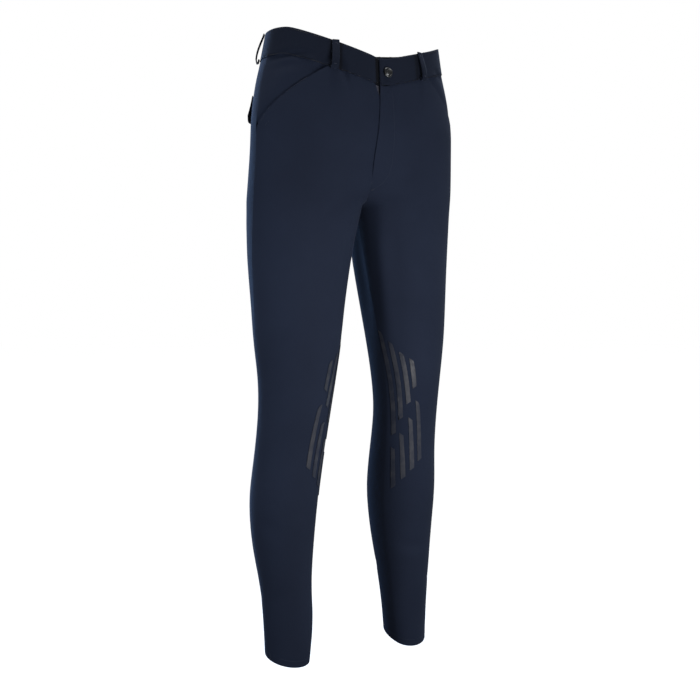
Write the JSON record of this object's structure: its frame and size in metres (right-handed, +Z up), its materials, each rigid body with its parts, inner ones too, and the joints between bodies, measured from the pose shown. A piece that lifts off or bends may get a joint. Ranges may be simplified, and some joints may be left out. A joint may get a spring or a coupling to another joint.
{
  "type": "riding breeches, held up at the waist",
  "caption": "Riding breeches in dark stretch cloth, filled out as worn, with belt loops, slanted pockets, a zip fly with a waist button and grip bars inside the knees.",
  "frame": {"origin": "middle of the waist opening, level with the top edge of the waistband at the sides", "axes": "+Z up, from the hems to the waist; -Y to the front; -X to the wearer's right"},
  "size_m": [0.384, 0.2041, 1.0077],
  "materials": {
    "breeches_cloth": "matt dark navy woven stretch cloth with a brushed face",
    "zip_tape_cloth": "grey woven tape",
    "grip_silicone": "satin grey printed silicone",
    "dark_metal": "antique gunmetal"
  },
  "bodies": {
    "root": {"front_right": "breeches_cloth", "back_right": "breeches_cloth", "pocket_facing_right": "breeches_cloth", "waistband_right": "breeches_cloth", "back_pocket_flap_right": "breeches_cloth", "grip_right_upper_1": "grip_silicone", "grip_right_upper_2": "grip_silicone", "grip_right_upper_3": "grip_silicone", "grip_right_upper_4": "grip_silicone", "grip_right_lower_1": "grip_silicone", "grip_right_lower_2": "grip_silicone", "grip_right_lower_3": "grip_silicone", "grip_right_lower_4": "grip_silicone", "front_left": "breeches_cloth", "back_left": "breeches_cloth", "pocket_facing_left": "breeches_cloth", "waistband_left": "breeches_cloth", "back_pocket_flap_left": "breeches_cloth", "grip_left_upper_1": "grip_silicone", "grip_left_upper_2": "grip_silicone", "grip_left_upper_3": "grip_silicone", "grip_left_upper_4": "grip_silicone", "grip_left_lower_1": "grip_silicone", "grip_left_lower_2": "grip_silicone", "grip_left_lower_3": "grip_silicone", "grip_left_lower_4": "grip_silicone", "belt_loop_front_right": "breeches_cloth", "belt_loop_front_left": "breeches_cloth", "belt_loop_side_right": "breeches_cloth", "belt_loop_side_left": "breeches_cloth", "belt_loop_centre_back": "breeches_cloth", "zip_tape_right": "zip_tape_cloth", "zip_tape_left": "zip_tape_cloth", "zip_chain": "dark_metal", "zip_slider": "dark_metal", "zip_pull": "dark_metal", "fly_underlap": "breeches_cloth", "waist_button": "dark_metal"}
  },
  "joints": []
}
